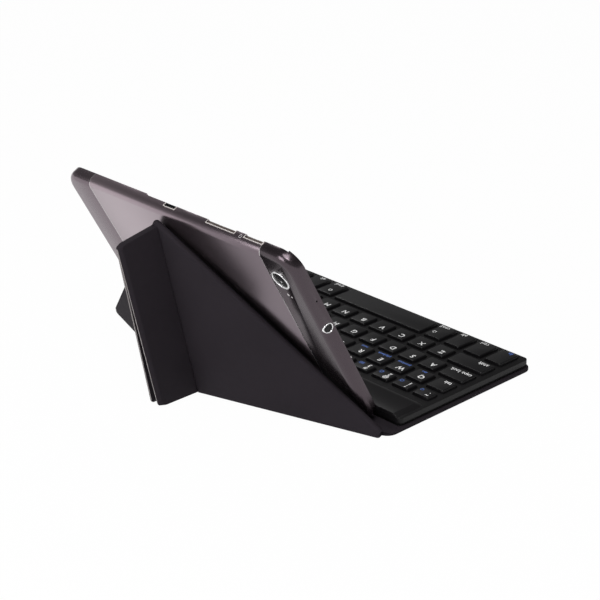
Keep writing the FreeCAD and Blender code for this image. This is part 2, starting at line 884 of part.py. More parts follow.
seam_half = S.seam_width / 2
seam_left = -S.left_seam_offset - seam_half
seam_right = S.right_seam_offset - seam_half
centre_width = S.left_seam_offset + S.right_seam_offset - S.seam_width
shell_pieces = [
    common("shell_left_cap", whole_shell, box(
        "left_cap_zone", shell_left, ZERO, ZERO,
        S.shell_length / 2 - S.left_seam_offset - seam_half, S.shell_height, S.shell_depth)),
    common("shell_centre", whole_shell, box(
        "centre_zone", seam_left + S.seam_width, ZERO, ZERO,
        centre_width, S.shell_height, S.shell_depth)),
    common("shell_right_cap", whole_shell, box(
        "right_cap_zone", seam_right + S.seam_width, ZERO, ZERO,
        S.shell_length / 2 - S.right_seam_offset - seam_half, S.shell_height, S.shell_depth)),
    common("seam_trims", whole_shell, fuse(
        "seam_zones",
        box("left_seam_zone", seam_left, ZERO, ZERO, S.seam_width, S.shell_height, S.shell_depth),
        box("right_seam_zone", seam_right, ZERO, ZERO, S.seam_width, S.shell_height, S.shell_depth),
    )),
]
ring_height = S.shell_wall + S.camera_ring_stand_out
ring_inner = S.camera_ring_radius - S.camera_ring_width
shell_pieces.append(cut(
    "camera_ring",
    rod("ring_outer", S.camera_x, S.camera_y, -S.camera_ring_stand_out, S.camera_ring_radius,
        ring_height, "z"),
    rod("ring_inner", S.camera_x, S.camera_y, -S.camera_ring_stand_out, ring_inner,
        ring_height, "z"),
))
shell_pieces.append(rod(
    "camera_window", S.camera_x, S.camera_y, S.camera_glass_depth, ring_inner,
    S.shell_wall - S.camera_glass_depth, "z",
))
shell_pieces.append(box(
    "shell_liner", seam_left + S.liner_margin, S.liner_margin + S.shell_back_round, S.shell_wall,
    centre_width - S.liner_margin * 2, S.shell_height - (S.liner_margin + S.shell_back_round) * 2,
    S.liner_thickness,
))
for name, x, width in (
    ("volume_button", S.volume_x, S.volume_width), ("power_button", S.power_x, S.power_width),
):
    shell_pieces.append(box(
        name, x - width / 2 + S.window_clearance,
        S.shell_height - S.window_button_recess - S.window_button_depth,
        S.window_sill + S.window_clearance, width - S.window_clearance * 2,
        S.window_button_depth, rim - S.window_sill - S.window_clearance * 2,
    ))
shell_pieces.append(box(
    "infrared_window", S.notch_x - S.notch_width / 2, S.shell_height - S.shell_wall,
    S.window_sill, S.notch_width, S.shell_wall - S.infrared_recess, rim - S.window_sill,
))

# The finished pieces are carried to the stand: each is a copy, tilted and set on the base panel.
for piece in shell_pieces:
    piece.Label = f"{piece.Name}_flat"
doc.recompute()
for piece in shell_pieces:
    placed = doc.addObject("Part::Compound", f"{piece.Name}_leaning")
    placed.Label = piece.Name
    placed.Links = [piece]
    placed.Placement = FreeCAD.Placement(V(0, 0, 0), FreeCAD.Rotation(V(1, 0, 0), 1))
    bind(placed, **{"Placement.Rotation.Angle": S.stand_tilt})
    seat(
        placed, S.shell_offset, S.base_depth / 2 + shell_up * shell_cosine - lift * shell_sine,
        shell_up * shell_sine + lift * shell_cosine,
    )
    node(placed)

# --- checks and files --------------------------------------------------------------------------------------

doc.recompute()
for thing in doc.Objects:
    if "Invalid" in thing.State or "Error" in thing.State:
        raise RuntimeError(f"{thing.Label} failed: {thing.State}")
os.makedirs("parts", exist_ok=True)
total = 0.0
for thing in nodes:
    shape = thing.Shape
    if shape.isNull() or not shape.isValid() or shape.Volume <= 0:
        raise RuntimeError(f"{thing.Label} has no valid solid")
    total += shape.Volume
    shape.exportStep(f"parts/{thing.Label}.step")
    limits = shape.BoundBox
    print(
        f"{thing.Label:20s} {len(shape.Solids):3d} solids {shape.Volume:10.1f} mm3"
        f"  x {limits.XMin:8.2f} {limits.XMax:8.2f}  y {limits.YMin:8.2f} {limits.YMax:8.2f}"
        f"  z {limits.ZMin:7.2f} {limits.ZMax:7.2f}"
    )
deck_volume = deck.Shape.Volume
solid_deck = (S.case_width * S.case_depth * S.upper_case_height).value
if deck_volume > 0.6 * solid_deck:
    raise RuntimeError("the deck's pockets cut nothing")
print("nodes", len(nodes), "volume", round(total / 1000, 1), "cm3")
for name, (fold, strip_fold) in folds.items():
    for label, (start, end, turn) in ((f"{name}_fold", fold), (f"{name}_strip", strip_fold)):
        along = (end - start).normalize()
        angle = math.degrees(turn.Angle) * (1 if turn.Axis.dot(along) > 0 else -1)
        print(label, "through", [round(c, 4) for c in start], "along",
              [round(c, 6) for c in along], "to flat", round(angle, 3), "degrees")
print("apex", apex, "foot y", foot_y + hinge_y, "far half", far_half, "tail", tail)
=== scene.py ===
import json
import math
import bpy
import bmesh
from mathutils import Matrix, Vector


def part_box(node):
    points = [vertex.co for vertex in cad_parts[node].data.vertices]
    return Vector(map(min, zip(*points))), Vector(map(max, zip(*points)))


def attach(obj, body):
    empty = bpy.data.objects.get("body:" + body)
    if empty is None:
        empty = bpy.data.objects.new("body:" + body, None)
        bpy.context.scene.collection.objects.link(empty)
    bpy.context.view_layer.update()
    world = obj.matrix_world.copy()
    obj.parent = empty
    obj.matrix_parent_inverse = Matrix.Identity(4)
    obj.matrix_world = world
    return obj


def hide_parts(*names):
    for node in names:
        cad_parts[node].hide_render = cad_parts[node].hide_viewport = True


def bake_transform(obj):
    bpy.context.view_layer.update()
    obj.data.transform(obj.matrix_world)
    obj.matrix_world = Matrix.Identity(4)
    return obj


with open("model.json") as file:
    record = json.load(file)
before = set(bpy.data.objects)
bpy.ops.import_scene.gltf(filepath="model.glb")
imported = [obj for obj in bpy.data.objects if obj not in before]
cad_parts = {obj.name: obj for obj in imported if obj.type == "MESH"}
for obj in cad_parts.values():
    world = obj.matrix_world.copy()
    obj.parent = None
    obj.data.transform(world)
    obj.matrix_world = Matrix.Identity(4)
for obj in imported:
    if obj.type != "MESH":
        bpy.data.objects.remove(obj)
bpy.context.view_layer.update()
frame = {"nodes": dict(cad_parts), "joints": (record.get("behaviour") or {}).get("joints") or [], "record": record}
nodes = frame["nodes"]
joints = {joint["name"]: joint for joint in frame["joints"]}
body_of_node = {}
for body, members in frame["record"]["behaviour"]["bodies"].items():
    for member in members:
        body_of_node[member] = body

MM = 0.001


# --- finishes ---------------------------------------------------------------------------------

def new_finish(name):
    material = bpy.data.materials.new(name)
    material.use_nodes = True
    tree = material.node_tree
    shader = tree.nodes["Principled BSDF"]
    return material, tree, shader


def noise_of(tree, coordinates, size_mm, detail=3.0, stretch=(1, 1, 1)):
    """Noise whose lumps are about size_mm across."""
    mapping = tree.nodes.new("ShaderNodeMapping")
    mapping.inputs["Scale"].default_value = stretch
    tree.links.new(coordinates, mapping.inputs["Vector"])
    noise = tree.nodes.new("ShaderNodeTexNoise")
    noise.inputs["Scale"].default_value = 1 / (size_mm * MM)
    noise.inputs["Detail"].default_value = detail
    tree.links.new(mapping.outputs["Vector"], noise.inputs["Vector"])
    return noise.outputs["Fac"]


def shaded(colour, share):
    return tuple(min(1.0, channel * share) for channel in colour) + (1.0,)


def moulded(name, colour, roughness, spread=0.08, tone_spread=0.12, grain_mm=0.35,
            grain_depth_mm=0.01, metallic=0.0, coat=0.0, specular=0.5, blotch_mm=18.0, stretch=(1, 1, 1)):
    """A solid finish: cloudy tone, uneven roughness and a fine grain in the surface."""
    material, tree, shader = new_finish(name)
    coordinates = tree.nodes.new("ShaderNodeTexCoord").outputs["Object"]
    cloud = noise_of(tree, coordinates, blotch_mm)
    tone = tree.nodes.new("ShaderNodeMix")
    tone.data_type = "RGBA"
    tone.inputs["A"].default_value = shaded(colour, 1 - tone_spread)
    tone.inputs["B"].default_value = shaded(colour, 1 + tone_spread)
    tree.links.new(cloud, tone.inputs["Factor"])
    tree.links.new(tone.outputs["Result"], shader.inputs["Base Color"])
    fine = noise_of(tree, coordinates, grain_mm, 4.0, stretch)
    gloss = tree.nodes.new("ShaderNodeMapRange")
    gloss.inputs["To Min"].default_value = max(0.02, roughness - spread)
    gloss.inputs["To Max"].default_value = min(1.0, roughness + spread)
    tree.links.new(fine, gloss.inputs["Value"])
    tree.links.new(gloss.outputs["Result"], shader.inputs["Roughness"])
    bump = tree.nodes.new("ShaderNodeBump")
    bump.inputs["Distance"].default_value = grain_depth_mm * MM
    bump.inputs["Strength"].default_value = 1.0
    tree.links.new(fine, bump.inputs["Height"])
    tree.links.new(bump.outputs["Normal"], shader.inputs["Normal"])
    shader.inputs["Metallic"].default_value = metallic
    shader.inputs["Coat Weight"].default_value = coat
    shader.inputs["Coat Roughness"].default_value = 0.06
    shader.inputs["Specular IOR Level"].default_value = specular
    return material


def leather(name, colour, roughness, pebble_mm=0.55, depth_mm=0.03):
    """Fine-grained imitation leather: small pebbles, faint creasing and a slow drift in tone."""
    material, tree, shader = new_finish(name)
    coordinates = tree.nodes.new("ShaderNodeTexCoord").outputs["Object"]
    pebbles = tree.nodes.new("ShaderNodeTexVoronoi")
    pebbles.inputs["Scale"].default_value = 1 / (pebble_mm * MM)
    tree.links.new(coordinates, pebbles.inputs["Vector"])
    cloud = noise_of(tree, coordinates, 30.0, 2.0)
    creases = noise_of(tree, coordinates, 3.0, 5.0)
    tone = tree.nodes.new("ShaderNodeMix")
    tone.data_type = "RGBA"
    tone.inputs["A"].default_value = shaded(colour, 0.9)
    tone.inputs["B"].default_value = shaded(colour, 1.1)
    tree.links.new(cloud, tone.inputs["Factor"])
    tree.links.new(tone.outputs["Result"], shader.inputs["Base Color"])
    gloss = tree.nodes.new("ShaderNodeMapRange")
    gloss.inputs["To Min"].default_value = roughness - 0.06
    gloss.inputs["To Max"].default_value = roughness + 0.08
    tree.links.new(creases, gloss.inputs["Value"])
    tree.links.new(gloss.outputs["Result"], shader.inputs["Roughness"])
    height = tree.nodes.new("ShaderNodeMath")
    height.operation = "MULTIPLY_ADD"
    height.inputs[1].default_value = 0.6
    tree.links.new(pebbles.outputs["Distance"], height.inputs[0])
    tree.links.new(creases, height.inputs[2])
    bump = tree.nodes.new("ShaderNodeBump")
    bump.inputs["Distance"].default_value = depth_mm * MM
    tree.links.new(height.outputs["Value"], bump.inputs["Height"])
    tree.links.new(bump.outputs["Normal"], shader.inputs["Normal"])
    shader.inputs["Specular IOR Level"].default_value = 0.06
    return material


def lacquer_with_painted_shade(name, far_painted_light_colour, near_painted_shade_colour, roughness, metallic):
    """Gloss metallic lacquer whose colour is graded along the shell, lighter at its far end and darker at its
    camera end: painted light and shade, not a change in the lacquer.
    """
    material, tree, shader = new_finish(name)
    coordinates = tree.nodes.new("ShaderNodeTexCoord").outputs["Object"]
    split = tree.nodes.new("ShaderNodeSeparateXYZ")
    tree.links.new(coordinates, split.inputs["Vector"])
    # The base colour runs from the near colour at the camera end to the far colour at the far end: painted shade
    # at the camera end, painted light at the far end.
    painted_shade_grade = tree.nodes.new("ShaderNodeMapRange")
    painted_shade_grade.interpolation_type = "SMOOTHSTEP"
    painted_shade_grade.inputs["From Min"].default_value = -0.07
    painted_shade_grade.inputs["From Max"].default_value = 0.06
    tree.links.new(split.outputs["X"], painted_shade_grade.inputs["Value"])
    tone = tree.nodes.new("ShaderNodeMix")
    tone.data_type = "RGBA"
    tone.inputs["A"].default_value = near_painted_shade_colour + (1,)
    tone.inputs["B"].default_value = far_painted_light_colour + (1,)
    tree.links.new(painted_shade_grade.outputs["Result"], tone.inputs["Factor"])
    tree.links.new(tone.outputs["Result"], shader.inputs["Base Color"])
    gloss = tree.nodes.new("ShaderNodeMapRange")
    gloss.inputs["To Min"].default_value = roughness - 0.015
    gloss.inputs["To Max"].default_value = roughness + 0.015
    tree.links.new(noise_of(tree, coordinates, 25.0, 1.0), gloss.inputs["Value"])
    tree.links.new(gloss.outputs["Result"], shader.inputs["Roughness"])
    shader.inputs["Metallic"].default_value = metallic
    return material


FINISHES = {
    "cover_leather": leather("cover_leather", (0.0205, 0.0170, 0.0210), 0.7),
    "key_plastic": moulded(
        "key_plastic", (0.0058, 0.0054, 0.0062), 0.36, grain_mm=0.25, grain_depth_mm=0.003,
        specular=0.33,
    ),
    "case_plastic": moulded(
        "case_plastic", (0.0055, 0.0051, 0.0057), 0.42, grain_mm=0.4, grain_depth_mm=0.003,
        specular=0.2,
    ),
    "bar_plastic": moulded(
        "bar_plastic", (0.006, 0.0054, 0.0062), 0.34, grain_mm=0.3, grain_depth_mm=0.003,
        specular=0.5,
    ),
    # Shell colours, far colour first: painted light at the far end, painted shade at the camera end.
    "shell_body": lacquer_with_painted_shade("shell_body", (0.40, 0.32, 0.358), (0.185, 0.15, 0.17), 0.30, 0.97),
    "shell_cap": lacquer_with_painted_shade("shell_cap", (0.195, 0.158, 0.178), (0.080, 0.064, 0.073), 0.24, 0.92),
    "seam_metal": moulded("seam_metal", (0.60, 0.57, 0.58), 0.22, metallic=0.9),
    # Bright metal for the camera ring; on the jack rim the same bright colour is painted highlight.
    "ring_metal": moulded("ring_metal", (0.90, 0.90, 0.91), 0.16, spread=0.04, metallic=0.6),
    # Pale colour of the window rims: painted highlight on the window edges.
    "pale_painted_highlight": moulded("pale_painted_highlight", (0.60, 0.56, 0.54), 0.30, spread=0.05, metallic=0.2),
    "window_black": moulded(
        "window_black", (0.003, 0.003, 0.0035), 0.25, spread=0.03, specular=0.12,
    ),
    "lens_glass": moulded("lens_glass", (0.004, 0.004, 0.006), 0.10, spread=0.02, specular=0.1),
    "shell_button": moulded("shell_button", (0.075, 0.058, 0.053), 0.30, spread=0.05, coat=0.4),
    "felt": moulded("felt", (0.022, 0.021, 0.023), 0.9, grain_mm=0.18, grain_depth_mm=0.06),
    # Pale colour of the fin edge strips: painted highlight.
    "pale_edge_painted_highlight": moulded("pale_edge_painted_highlight", (0.36, 0.33, 0.33), 0.6, grain_mm=0.4, grain_depth_mm=0.003),
    "stiff_board": moulded(
        "stiff_board", (0.30, 0.25, 0.19), 0.85, grain_mm=0.8, grain_depth_mm=0.03,
    ),
    "plate_steel": moulded(
        "plate_steel", (0.50, 0.50, 0.51), 0.35, metallic=1.0, stretch=(0.04, 1, 1),
    ),
    "membrane_film": moulded("membrane_film", (0.66, 0.70, 0.66), 0.35, grain_mm=2.0),
    "dome_rubber": moulded("dome_rubber", (0.72, 0.72, 0.70), 0.65),
    "board_laminate": moulded(
        "board_laminate", (0.02, 0.13, 0.05), 0.4, grain_mm=0.7, tone_spread=0.3,
    ),
    "battery_foil": moulded(
        "battery_foil", (0.62, 0.62, 0.64), 0.32, metallic=0.9, grain_mm=1.2,
        grain_depth_mm=0.03,
    ),
    "bright_steel": moulded("bright_steel", (0.62, 0.61, 0.60), 0.25, metallic=1.0),
    "light_guide": moulded("light_guide", (0.62, 0.68, 0.75), 0.2, coat=0.4),
    "legend_white": moulded(
        "legend_white", (0.92, 0.92, 0.92), 0.5, grain_mm=0.15, grain_depth_mm=0.003,
    ),
    "legend_blue": moulded(
        "legend_blue", (0.085, 0.17, 0.52), 0.5, grain_mm=0.15, grain_depth_mm=0.003,
    ),
    "mark_grey": moulded(
        "mark_grey", (0.50, 0.47, 0.48), 0.35, grain_mm=0.15, grain_depth_mm=0.003,
    ),
}


def dress(thing, finish):
    thing.data.materials.clear()
    thing.data.materials.append(FINISHES[finish])


# --- making pieces ----------------------------------------------------------------------------

def add_piece(mesh_under_way, name, finish, body, smooth_angle=35.0):
    """Turn a bmesh into a piece that rides on a body."""
    mesh = bpy.data.meshes.new(name)
    mesh_under_way.to_mesh(mesh)
    mesh_under_way.free()
    for face in mesh.polygons:
        face.use_smooth = True
    mesh.set_sharp_from_angle(angle=math.radians(smooth_angle))
    piece = bpy.data.objects.new(name, mesh)
    bpy.context.scene.collection.objects.link(piece)
    dress(piece, finish)
    if body is not None:
        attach(piece, body)
    return piece


def merged(node):
    """A copy of a node's mesh with its loose triangles joined into faces."""
    copy = bmesh.new()
    copy.from_mesh(nodes[node].data)
    bmesh.ops.remove_doubles(copy, verts=copy.verts, dist=2e-6)
    bmesh.ops.dissolve_limit(
        copy, angle_limit=math.radians(0.6), verts=copy.verts, edges=copy.edges,
    )
    return copy


def sharp_edges(copy, least_angle=35.0):
    return [edge for edge in copy.edges
            if len(edge.link_faces) == 2 and edge.calc_face_angle(0) > math.radians(least_angle)]


def round_over(copy, edges, width_mm, segments=2):
    bmesh.ops.bevel(
        copy, geom=edges, offset=width_mm * MM, offset_type="OFFSET", segments=segments,
        profile=0.5, affect="EDGES", clamp_overlap=True, material=-1,
    )


def softened(node, finish, width_mm, segments=2, keep=None, smooth_angle=35.0):
    """The node again, with its sharp edges rounded over."""
    copy = merged(node)
    edges = sharp_edges(copy)
    if keep is not None:
        edges = [edge for edge in edges if keep(edge)]
    if edges and width_mm > 0:
        round_over(copy, edges, width_mm, segments)
    piece = add_piece(copy, f"{node}_finished", finish, body_of_node[node], smooth_angle)
    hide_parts(node)
    return piece


# --- keys -------------------------------------------------------------------------------------

CLOSE = 0.05 * MM  # how near two heights count as one

KEY_NODES = [node for node in nodes if node.endswith(("_key", "_keys")) or node == "space_bar"]
key_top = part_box("space_bar")[1][2]


def at_key_top(edge):
    return all(abs(vertex.co.z - key_top) < CLOSE for vertex in edge.verts)


for key in KEY_NODES:
    softened(key, "key_plastic", 0.45, 3, at_key_top)

# --- keyboard case ----------------------------------------------------------------------------

deck_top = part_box("upper_case")[1][2]
case_low, case_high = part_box("upper_case")
RIM_WIDTH = 3.2 * MM


def at_deck_rim(edge):
    return all(
        vertex.co.z > deck_top - CLOSE
        and (abs(abs(vertex.co.x) - case_high[0]) < RIM_WIDTH
             or vertex.co.y > case_high[1] - RIM_WIDTH or vertex.co.y < case_low[1] + RIM_WIDTH)
        for vertex in edge.verts
    )


softened("upper_case", "case_plastic", 0.4, 3, at_deck_rim)
softened("lower_case", "case_plastic", 0.0)
softened("rest_bar", "bar_plastic", 0.45, 3)


def rounded_slab(shape, low, high, bend_mm, steps=8):
    """Add a flat slab whose four corners are round in plan."""
    bend = bend_mm * MM
    outline = []
    for turn, (x, y) in enumerate((
        (high[0] - bend, high[1] - bend), (low[0] + bend, high[1] - bend),
        (low[0] + bend, low[1] + bend), (high[0] - bend, low[1] + bend),
    )):
        for step in range(steps + 1):
            angle = math.radians(90) * (turn + step / steps)
            outline.append((x + bend * math.cos(angle), y + bend * math.sin(angle)))
    floor_face = shape.faces.new([shape.verts.new((x, y, low[2])) for x, y in outline])
    raised = bmesh.ops.extrude_face_region(shape, geom=[floor_face])["geom"]
    top_verts = [item for item in raised if isinstance(item, bmesh.types.BMVert)]
    bmesh.ops.translate(shape, vec=(0, 0, high[2] - low[2]), verts=top_verts)
    return top_verts


BASE_CORNER = 7.0


def base_cover():
    """The base panel's skin: a thin sheet that runs on to the hinge, and the padded panel on it."""
    low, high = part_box("base_skin")
    sheet_top, panel_rear = 0.6 * MM, high[1] - 1.7 * MM
    shape = bmesh.new()
    rounded_slab(shape, low, (high[0], high[1], sheet_top), BASE_CORNER)
    rounded_slab(
        shape, (low[0], low[1], sheet_top - 0.1 * MM), (high[0], panel_rear, high[2]), BASE_CORNER,
    )
    bmesh.ops.recalc_face_normals(shape, faces=shape.faces)
    rims = [edge for edge in sharp_edges(shape)
            if all(abs(vertex.co.z - high[2]) < 0.01 * MM or vertex.co.z < 0.01 * MM
                   for vertex in edge.verts)]
    round_over(shape, rims, 0.3, 2)
    piece = add_piece(shape, "base_skin_finished", "cover_leather", body_of_node["base_skin"])
    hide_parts("base_skin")


base_cover()

INNER = {
    "base_board": "stiff_board", "backing_plate": "plate_steel", "membrane_sheet": "membrane_film",
    "rubber_domes": "dome_rubber", "circuit_board": "board_laminate", "battery": "battery_foil",
    "radio_module": "bright_steel", "charge_socket": "bright_steel", "power_switch": "case_plastic",
    "pairing_button": "case_plastic", "status_light": "light_guide", "case_screws": "bright_steel",
    "grip_pad": "felt", "shell_liner": "felt", "centre_panel_board": "stiff_board",
    "left_fold_board": "stiff_board", "right_fold_board": "stiff_board",
    "left_strip_board": "stiff_board", "right_strip_board": "stiff_board",
}
for node, finish in INNER.items():
    dress(nodes[node], finish)

# --- cover: folding flap ----------------------------------------------------------------------
# The creases are the joints' own axes: hinge, ridges from the hinge's ends to the apex, and fins.

PANEL = 2.2 * MM
hinge = Vector(joints["stand_fold"]["pos_m"])
apex = Vector(joints["left_fin_fold"]["pos_m"])
fin_width = 29.0 * MM


def side_points(side):
    """The folded flap's corners on one side: hinge corner, foot, tail and heel."""
    corner = Vector(joints[f"{side}_ridge_fold"]["pos_m"])
    down = Vector(joints[f"{side}_fin_fold"]["axis"])
    if down.z > 0:
        down = -down
    foot = apex + down * (-apex.z / down.z)
    lean = math.atan2(apex.y - foot.y, apex.z)
    tail = apex + Vector((0, math.cos(lean), -math.sin(lean))) * fin_width
    heel = tail + (foot - apex) * (1 - fin_width * math.sin(lean) / apex.z)
    return corner, foot, tail, heel


def panel_piece(name, corners, outward, edges, body, node, rounded=()):
    """A padded panel.  corners go round it; outward is the way its face looks.
    edges gives, for the side that starts at each corner, how far its top and its foot are set in
    (mm) and how thick it is there (mm); rounded lists corners whose plan is rounded, with radii."""
    middle = sum(corners, Vector()) / len(corners)
    normal = (corners[1] - corners[0]).cross(corners[2] - corners[0]).normalized()
    if normal.dot(outward) < 0:
        normal = -normal
    count = len(corners)

    def ring(insets, height):
        lines = []
        for place in range(count):
            start, end = corners[place], corners[(place + 1) % count]
            along = (end - start).normalized()
            inward = normal.cross(along)
            if inward.dot(middle - start) < 0:
                inward = -inward
            lines.append((start + inward * insets[place] * MM, along))
        points = []
        for place in range(count):
            start, along = lines[place - 1]
            other, other_along = lines[place]
            across = normal.cross(other_along)
            step = (other - start).dot(across) / along.dot(across)
            points.append(start + along * step + normal * height * MM)
        return points

    shape = bmesh.new()
    low = [shape.verts.new(point) for point in ring([edge[1] for edge in edges], 0.0)]
    shoulder_height = min(edge[2] for edge in edges)
    shoulder = [shape.verts.new(point)
                for point in ring([edge[1] for edge in edges], shoulder_height)]
    high = [shape.verts.new(point) for point in ring([edge[0] for edge in edges], PANEL / MM)]
    shape.faces.new(low)
    shape.faces.new(high)
    for lower, upper in ((low, shoulder), (shoulder, high)):
        for place in range(count):
            after = (place + 1) % count
            shape.faces.new((lower[place], lower[after], upper[after], upper[place]))
    uprights = []
    for edge in shape.edges:
        for corner, radius in rounded:
            if all((vertex.co - corner).length < 6 * MM for vertex in edge.verts):
                if abs((edge.verts[0].co - edge.verts[1].co).normalized().dot(normal)) > 0.3:
                    uprights.append((edge, radius))
    for radius in sorted({radius for edge, radius in uprights}):
        chosen = [edge for edge, size in uprights if size == radius and edge.is_valid]
        round_over(shape, chosen, radius, 5)
    bmesh.ops.remove_doubles(shape, verts=shape.verts, dist=1e-6)
    bmesh.ops.recalc_face_normals(shape, faces=shape.faces)
    round_over(shape, sharp_edges(shape, 30.0), 0.25, 2)
    piece = add_piece(shape, name, "cover_leather", body, 50.0)
    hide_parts(node)
    return piece


def crease_piece(name, start, end, angles, inner, outer, side_axis, up_axis):
    """Cloth round a crease from start to end: an arc between two angles about the crease."""
    steps = 10
    shape = bmesh.new()
    rows = []
    for radius in (outer, inner):
        for point in (start, end):
            row = []
            for step in range(steps + 1):
                angle = angles[0] + (angles[1] - angles[0]) * step / steps
                offset = side_axis * math.cos(angle) + up_axis * math.sin(angle)
                row.append(shape.verts.new(point + offset * radius))
            rows.append(row)
    outer_near, outer_far, inner_near, inner_far = rows
    for first, second in ((outer_near, outer_far), (outer_far, inner_far),
                          (inner_far, inner_near), (inner_near, outer_near)):
        for step in range(steps):
            shape.faces.new((first[step], first[step + 1], second[step + 1], second[step]))
    for step in (0, steps):
        shape.faces.new((outer_near[step], outer_far[step], inner_far[step], inner_near[step]))
    bmesh.ops.recalc_face_normals(shape, faces=shape.faces)
    piece = add_piece(shape, name, "cover_leather", None, 50.0)
    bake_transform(piece)
    return piece


def valley_piece(name, start, end, first_way, second_way, first_normal, second_normal, width):
    """Thin cloth down a valley crease: one leaf on each panel, joined along the crease."""
    thickness = 0.3 * MM
    shape = bmesh.new()
    rows = []
    for point in (start, end):
        low = [point + first_way * width, point, point + second_way * width]
        middle = (first_normal + second_normal).normalized()
        lift = middle * (thickness / max(0.2, middle.dot(first_normal)))
        high = [
            low[0] + first_normal * thickness, low[1] + lift, low[2] + second_normal * thickness,
        ]
        rows.append([shape.verts.new(place) for place in low + high[::-1]])
    near, far = rows
    for place in range(6):
        after = (place + 1) % 6
        shape.faces.new((near[place], near[after], far[after], far[place]))
    for row in rows:
        shape.faces.new((row[0], row[1], row[4], row[5]))
        shape.faces.new((row[1], row[2], row[3], row[4]))
    bmesh.ops.recalc_face_normals(shape, faces=shape.faces)
    piece = add_piece(shape, name, "cover_leather", None, 50.0)
    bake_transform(piece)
    return piece


def ridge_end(name, ridge, front, rise, turn, sign):
    """A wedge of a ball that closes one side's ridge cloth where the creases meet."""
    shape = bmesh.new()
    bmesh.ops.create_uvsphere(shape, u_segments=32, v_segments=16, radius=PANEL)
    last_way = rise * math.cos(turn) - front * math.sin(turn)
    for way in (-ridge, -rise, last_way, Vector((-sign, 0, 0))):
        bmesh.ops.bisect_plane(
            shape, geom=shape.verts[:] + shape.edges[:] + shape.faces[:], plane_co=(0, 0, 0),
            plane_no=way, clear_outer=True,
        )
        bmesh.ops.holes_fill(shape, edges=[edge for edge in shape.edges if edge.is_boundary])
    bmesh.ops.recalc_face_normals(shape, faces=shape.faces)
    bmesh.ops.translate(shape, vec=apex, verts=shape.verts)
    piece = add_piece(shape, name, "cover_leather", None, 60.0)
    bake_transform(piece)
    return piece


def painted_highlight_edge(name, start, end, inward, outward, body):
    """A thin pale strip down a fin's rear edge: painted highlight where that edge catches the light."""
    along = (end - start).normalized()
    shape = bmesh.new()
    made = bmesh.ops.create_cube(shape, size=1.0)
    bmesh.ops.scale(
        shape, vec=(0.5 * MM, 0.36 * MM, (end - start).length - 4.4 * MM), verts=made["verts"],
    )
    place = Matrix((inward, outward, along)).transposed().to_4x4()
    middle = (start + end) / 2 + inward * 0.25 * MM + outward * 0.16 * MM
    bmesh.ops.transform(shape, matrix=Matrix.Translation(middle) @ place, verts=made["verts"])
    bmesh.ops.recalc_face_normals(shape, faces=shape.faces)
    return add_piece(shape, name, "pale_edge_painted_highlight", body, 35.0)


def normal_of(first, second, third, towards):
    normal = (second - first).cross(third - first).normalized()
    return normal if normal.dot(towards) > 0 else -normal


left_corner = side_points("left")[0]
right_corner = side_points("right")[0]
front_normal = normal_of(left_corner, right_corner, apex, Vector((0, -1, 0.5)))
panel_piece(
    "centre_flap_cover", [left_corner, right_corner, apex], front_normal,
    [(2.2, 0.5, 0.6), (0.0, 0.0, 0.6), (0.0, 0.0, 0.6)], "centre_flap", "centre_panel_skin",
    [(left_corner, 5.0), (right_corner, 5.0)],
)
for side, sign in (("left", -1), ("right", 1)):
    corner, foot, tail, heel = side_points(side)
    outer_normal = normal_of(corner, apex, foot, Vector((sign, 1, 0.3)))
    fin_normal = normal_of(apex, foot, tail, Vector((sign, 0, 0)))
    panel_piece(
        f"{side}_flap_cover", [corner, apex, foot], outer_normal,
        [(0.0, 0.0, 0.6), (1.8, 0.2, 0.6), (0.6, 0.5, 0.6)], f"{side}_flap", f"{side}_fold_skin",
        [(corner, 5.0)],
    )
    panel_piece(
        f"{side}_fin_cover", [apex, foot, heel, tail], fin_normal,
        [(1.8, 0.2, 0.9), (0.5, 0.5, 0.9), (2.2, 0.2, 0.9), (0.5, 0.1, 0.9)],
        f"{side}_fin", f"{side}_strip_skin", [(tail, 1.6), (heel, 1.6)],
    )
    # Pale strip down the fin's rear edge: painted highlight.
    painted_highlight_edge(
        f"{side}_fin_cut_edge", heel, tail,
        fin_normal.cross((tail - heel).normalized()).normalized() * sign, fin_normal, f"{side}_fin",
    )
    ridge = (apex - corner).normalized()
    up_axis = ridge.cross(front_normal).normalized()
    if up_axis.z < 0:
        up_axis = -up_axis
    turn = math.atan2(outer_normal.dot(up_axis), outer_normal.dot(front_normal))
    crease_piece(
        f"{side}_ridge_cloth", corner + ridge * 5.0 * MM, apex, (0.0, turn),
        PANEL - 0.5 * MM, PANEL, front_normal, up_axis,
    )
    ridge_end(
        f"{side}_ridge_end", ridge, front_normal, up_axis, turn, sign,
    )
    fold_way = outer_normal.cross(foot - apex).normalized()
    if fold_way.dot(corner - foot) < 0:
        fold_way = -fold_way
    fin_way = fin_normal.cross(foot - apex).normalized()
    if fin_way.dot(tail - apex) < 0:
        fin_way = -fin_way
    down = (foot - apex).normalized()
    valley_piece(
        f"{side}_fin_crease", apex + down * 1.5 * MM, foot - down * 0.8 * MM, fold_way, fin_way,
        outer_normal, fin_normal, 1.6 * MM,
    )
slope_way = (apex - hinge).normalized()
valley_piece(
    "hinge_crease", Vector((left_corner.x + BASE_CORNER * MM, hinge.y, 0)),
    Vector((right_corner.x - BASE_CORNER * MM, hinge.y, 0)), Vector((0, -1, 0)), slope_way,
    Vector((0, 0, 1)), front_normal, 1.4 * MM,
)

# --- tablet shell -----------------------------------------------------------------------------
# Shell sizes are in its own plane: across, up from its lower edge, and out from its back.

